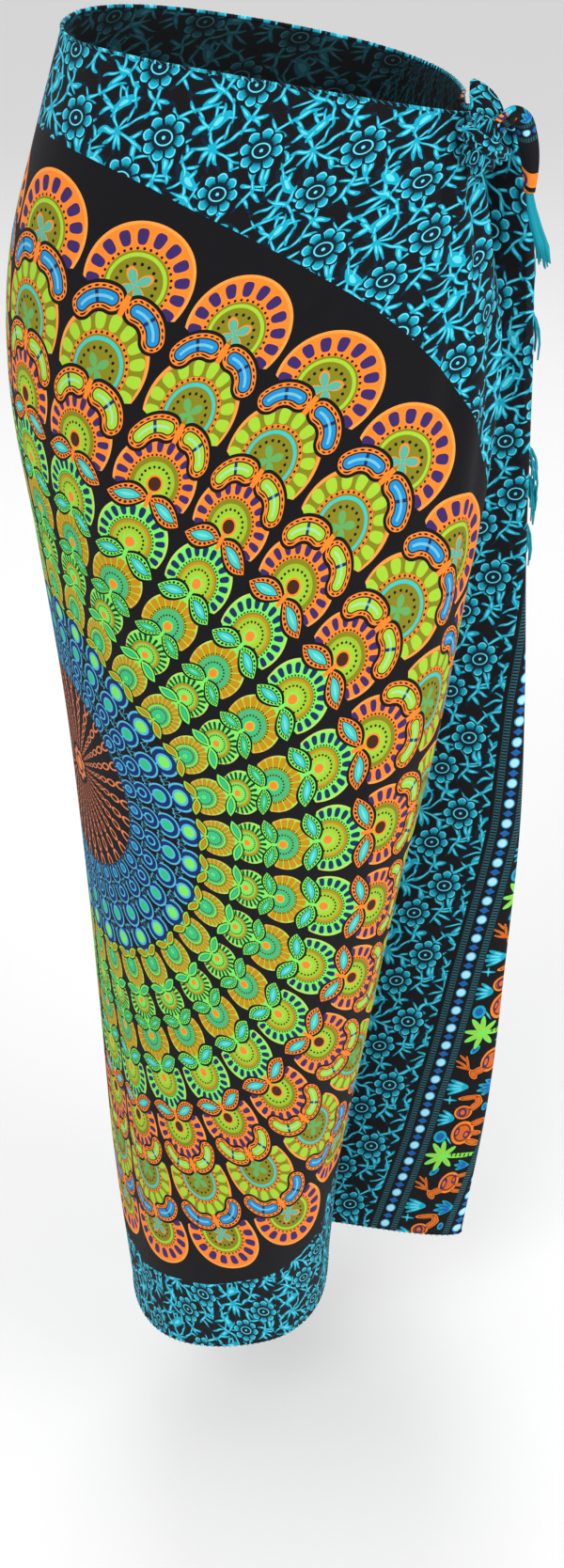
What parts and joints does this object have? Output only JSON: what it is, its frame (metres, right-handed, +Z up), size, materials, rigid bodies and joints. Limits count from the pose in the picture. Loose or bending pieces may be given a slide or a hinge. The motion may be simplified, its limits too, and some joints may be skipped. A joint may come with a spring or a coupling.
{
  "type": "sarong",
  "caption": "Wrapped cloth sarong tied in a knot at one hip, in its hollow worn form, with a fold-over flap, gathers fanning from the knot and fringed ends",
  "frame": {"origin": "middle of the waist opening, which is the wearer's waist", "axes": "+Z up, -Y the wearer's front, +X the wearer's left, where the knot is"},
  "size_m": [0.3747, 0.2882, 1.0146],
  "materials": {
    "printed_cloth": "woven rayon, black ground with a many-coloured all-over print, soft and matt",
    "fringe_thread": "teal twisted thread, matt"
  },
  "bodies": {
    "root": {"wrap": "printed_cloth", "front_end": "printed_cloth", "back_end": "printed_cloth", "knot": "printed_cloth", "knot_corner": "printed_cloth", "knot_ear": "printed_cloth", "end_fringe": "fringe_thread", "tuck_fringe": "fringe_thread", "corner_fringe": "fringe_thread"}
  },
  "joints": []
}
